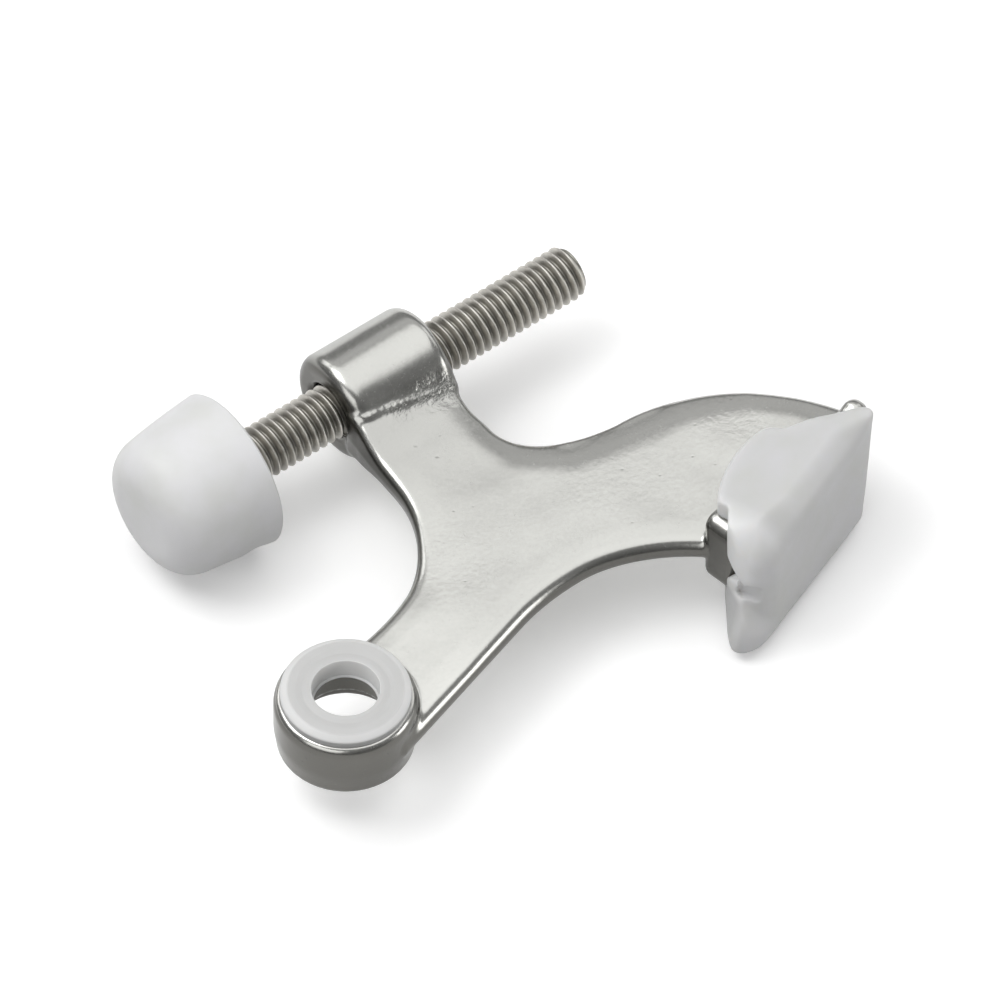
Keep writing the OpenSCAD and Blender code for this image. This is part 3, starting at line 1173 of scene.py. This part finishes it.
def padCuts(run, back, z):
    shape = padDesign

    # The mouth at the left end, where the plate's end shows
    mouth, (archMiddle, archHalf) = shape["mouth"], shape["mouthArch"]
    arch = np.clip(np.abs(z - archMiddle) / archHalf, 0, 1)
    opened = mouth["back"] + mouth["deepen"] * arch * (2 - arch) - back
    opened = np.maximum(opened, np.abs(z - mouth["middle"]) - mouth["half"])
    opened = np.maximum(opened, run - mouth["end"])

    # Its open inner corner, and the small ragged tear below
    corner = shape["corner"]
    slant = corner["back"] + corner["slope"] * (run - corner["from"]) - back
    missing = np.maximum(slant, np.maximum(run - corner["end"], corner["bottom"] - z))
    ragged = 0.1 * np.sin(5 * run + 4 * z) + 0.07 * np.sin(9 * back - 6 * z)
    (tearBack, tearZ), (halfBack, halfZ) = shape["tearMiddle"], shape["tearHalf"]
    tear = np.maximum(np.abs(back - tearBack) - halfBack, np.abs(z - tearZ) - halfZ) + ragged
    tear = np.maximum(tear, run - shape["left"] - shape["tearDepth"])
    return np.minimum(np.minimum(opened, missing), tear)


def padField(x, y, z):
    shape = padDesign
    z = z - midZ
    run, back = padPlace(x, y)

    # Lower down, the boot is less deep, its left end swells into a lobe and its right end draws in
    left, right = -shape["left"], shape["right"]
    deep = back / (1 - shape["backDraw"] * easeStep(*shape["backDrawDrop"], z))
    fold = shape["foldBack"] + shape["foldSlope"] * (z + shape["foldRise"])
    foldStart, foldEnd = shape["foldSpan"]
    swell = easeStep(fold + foldStart, fold + foldEnd, back) * easeStep(*shape["lobeFade"], back)
    swell = swell * shape["lobeSwell"] * easeStep(*shape["lobeDrop"], z)
    draw = shape["rightDraw"] * np.clip(0.5 - z / shape["height"], 0, 1)
    warped = np.where(run < 0, run * left / (left + swell), run * right / (right - draw))
    plan = outlineDistance(warped, deep, padLine)
    rise = np.abs(z) - shape["height"] / 2
    soft = easeStep(*shape["softBack"], back) * easeStep(*shape["softRise"], z)
    soft = soft * easeStep(*shape["softRun"], run)
    crease = shape["creaseEdge"] + shape["creaseGrow"] * easeStep(*shape["creaseRun"], run)
    boot = roundedMeet(plan, rise, shape["crispEdge"] + (crease - shape["crispEdge"]) * soft)
    boot = softCut(boot, padCuts(run, back, z), shape["cutEdge"])

    # The plate and the arm behind it leave their own shape in it
    arm = np.maximum(np.abs(z) - shape["armHalf"], -plateDepth(x, y))
    held = np.minimum(plateBlock(x, y, z, shape["plateSlack"]), arm)
    return softCut(boot, held, shape["armCutEdge"])


def makePad(material):
    shape = padDesign
    low, high = padLow - shape["marginLow"], padHigh + shape["marginHigh"]
    points, quads = evenSurface(padField, low, high, shape["step"])
    wave = wavesAt(points, shape["broadWave"], shape["fineWave"])
    _, slope = slopeOf(padField, points)
    slope /= np.maximum(np.linalg.norm(slope, axis=1), 0.5)[:, None]
    points = points + slope * (wave - shape["waveSink"])[:, None]
    points = np.clip(points, partLow + shape["boxGap"], partHigh - shape["boxGap"])
    piece = meshPiece("foot_pad_rubber", points, quads, material)
    finishPiece(piece, "bracket_body", "foot_pad")


stageDesign = {
    "floorSize": 6.0,  # metres
    "seenColour": 0.99,
    "bounceColour": 0.32,
    "floorRoughness": 0.9,
    "lift": 0.22,
    "world": 0.27,
    "worldGlow": 0.12,
}


def seenDirectly(tree):
    # 1 for what is seen straight or in a shiny or clear surface, 0 for bounced light
    path = addNode(tree, "ShaderNodeLightPath").outputs
    seen = larger(tree, path["Is Camera Ray"], path["Is Glossy Ray"])
    return larger(tree, seen, path["Is Transmission Ray"])


def makeFloor():
    # Near white where it is seen; its bounce on the part is softer
    look = stageDesign
    material, tree, shader = newMaterial("studio_floor")
    seen = seenDirectly(tree)
    tone = remap(tree, seen, 0, 1, look["bounceColour"], look["seenColour"])
    tree.links.new(toneColour(tree, tone), shader.inputs["Base Color"])
    shader.inputs["Roughness"].default_value = look["floorRoughness"]
    shader.inputs["Emission Color"].default_value = (1, 1, 1, 1)
    glow = remap(tree, seen, 0, 1, 0, look["lift"])
    tree.links.new(glow, shader.inputs["Emission Strength"])
    half = look["floorSize"] / 2 / mm
    height = min(bumperLow[2], padLow[2])
    corners = [(-half, -half, height), (half, -half, height), (half, half, height), (-half, half, height)]
    floor = meshPiece("studio_floor", corners, [(0, 1, 2, 3)], material)


def makeWorld():
    world = bpy.data.worlds.new("studio")
    bpy.context.scene.world = world
    world.use_nodes = True
    tree = world.node_tree
    back = tree.nodes["Background"]
    back.inputs[0].default_value = (1, 1, 1, 1)
    level = remap(tree, seenDirectly(tree), 0, 1, stageDesign["worldGlow"], stageDesign["world"])
    tree.links.new(level, back.inputs[1])


cameraDesign = {
    "turn": 36.75,
    "lift": 52.0,
    "width": 102.04,  # how much is seen across at the aim, in millimetres
    "away": 3600.0,
    "sensor": 36,
    "clip": (0.05, 50),
    "aim": (29.25, 13.0, -3.5),
}


def wayTo(turn, lift):
    return Vector((math.sin(turn) * math.cos(lift), math.cos(turn) * math.cos(lift), math.sin(lift)))


def makeCamera():
    look = cameraDesign
    turn, lift = math.radians(look["turn"]), math.radians(look["lift"])
    right = Vector((math.cos(turn), -math.sin(turn), 0))
    forward = wayTo(turn, -lift)
    data = bpy.data.cameras.new("camera")
    data.sensor_width = look["sensor"]
    data.lens = look["sensor"] * look["away"] / look["width"]
    data.clip_start, data.clip_end = look["clip"]
    camera = bpy.data.objects.new("camera", data)
    bpy.context.scene.collection.objects.link(camera)
    up = right.cross(forward)
    place = Vector(look["aim"]) - forward * look["away"]
    turnTo = Matrix((right, up, -forward)).transposed().to_4x4()
    camera.matrix_world = Matrix.Translation(place * mm) @ turnTo
    bpy.context.scene.camera = camera


# Each lamp: azimuth from behind the object towards the right, height angle, distance,
# width and length, and how bright its face is
lampDesign = {
    "back_panel": (0, 80, 640, (900, 820), 1.12),
    "left_key": (-80, 56, 700, (400, 400), 3.2),
    "back_low": (-4, 34, 700, (620, 190), 0.42),
    "front_panel": (-148, 30, 900, (760, 500), 1.9),
    "pad_fill": (97, 8, 600, (240, 300), 4.8),
    "right_panel": (45, 26, 700, (420, 260), 0.95),
    "left_panel": (-48, 27, 700, (280, 240), 1.6),
}


def makeLamps():
    turn = math.radians(cameraDesign["turn"])
    aim = Vector(cameraDesign["aim"])
    for name, (azimuth, lift, away, size, glow) in lampDesign.items():
        data = bpy.data.lights.new(name, "AREA")
        data.shape = "RECTANGLE"
        data.size, data.size_y = (side * mm for side in size)
        data.energy = glow * math.pi * data.size * data.size_y  # same glow at any size
        way = wayTo(turn + math.radians(azimuth), math.radians(lift))
        light = bpy.data.objects.new(name, data)
        bpy.context.scene.collection.objects.link(light)
        light.location = (aim + way * away) * mm
        light.rotation_euler = way.to_track_quat("Z", "Y").to_euler()


makeCamera()
makeFloor()
makeWorld()
makeLamps()
print("stage ready")
makeBracket(satinNickel())
makeBush(whiteRubber("bush_plastic", bushDesign, bushPaintedShade))
makeScrew(rolledSteel())
makeBumper(whiteRubber("white_rubber", bumperDesign))
makePad(whiteRubber("pad_rubber", padDesign, bootPaintedLight))
print("pieces ready")

bpy.context.scene.view_settings.view_transform = "Standard"
